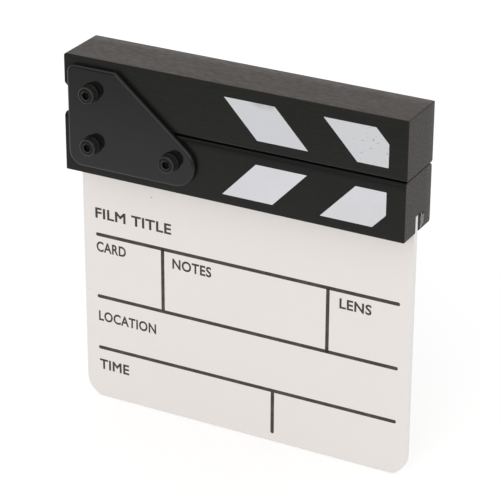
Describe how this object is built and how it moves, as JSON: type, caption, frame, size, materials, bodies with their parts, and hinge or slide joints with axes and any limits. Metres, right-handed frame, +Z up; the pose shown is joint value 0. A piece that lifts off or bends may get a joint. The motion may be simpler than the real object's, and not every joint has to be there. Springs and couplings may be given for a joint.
{
  "type": "clapperboard",
  "caption": "Hand-held clapperboard: a white writing board glued under a striped black stick, with a matching clap stick hinged above it between steel plates.",
  "frame": {"origin": "middle of the writing board's bottom edge", "axes": "+X to the right along the sticks, away from the hinge, +Y back from the written face, +Z up"},
  "size_m": [0.1502, 0.0377, 0.1578],
  "materials": {
    "black_wood": "black paint, satin, fine grain showing",
    "white_acrylic": "smooth, wipe-clean",
    "clear_glue": "cloudy, cured",
    "black_plate": "black powder coat, satin",
    "black_fastener": "black oxide"
  },
  "bodies": {
    "slate": {"lower_stick": "black_wood", "slate_board": "white_acrylic", "board_adhesive": "clear_glue", "front_hinge_plate": "black_plate", "rear_hinge_plate": "black_plate", "pivot_screw": "black_fastener", "pivot_spring_washer": "black_fastener", "pivot_front_washer": "black_fastener", "pivot_rear_washer": "black_fastener", "pivot_nut": "black_fastener", "lower_left_screw": "black_fastener", "lower_left_spring_washer": "black_fastener", "lower_left_front_washer": "black_fastener", "lower_left_rear_washer": "black_fastener", "lower_left_nut": "black_fastener", "lower_right_screw": "black_fastener", "lower_right_spring_washer": "black_fastener", "lower_right_front_washer": "black_fastener", "lower_right_rear_washer": "black_fastener", "lower_right_nut": "black_fastener"},
    "clapper": {"upper_stick": "black_wood"}
  },
  "joints": [
    {"name": "clapper_hinge", "type": "hinge", "parent": "slate", "child": "clapper", "pos_m": [-0.0612, 0, 0.1442], "axis": [0, -1, 0], "range_deg": [0, 57]}
  ]
}
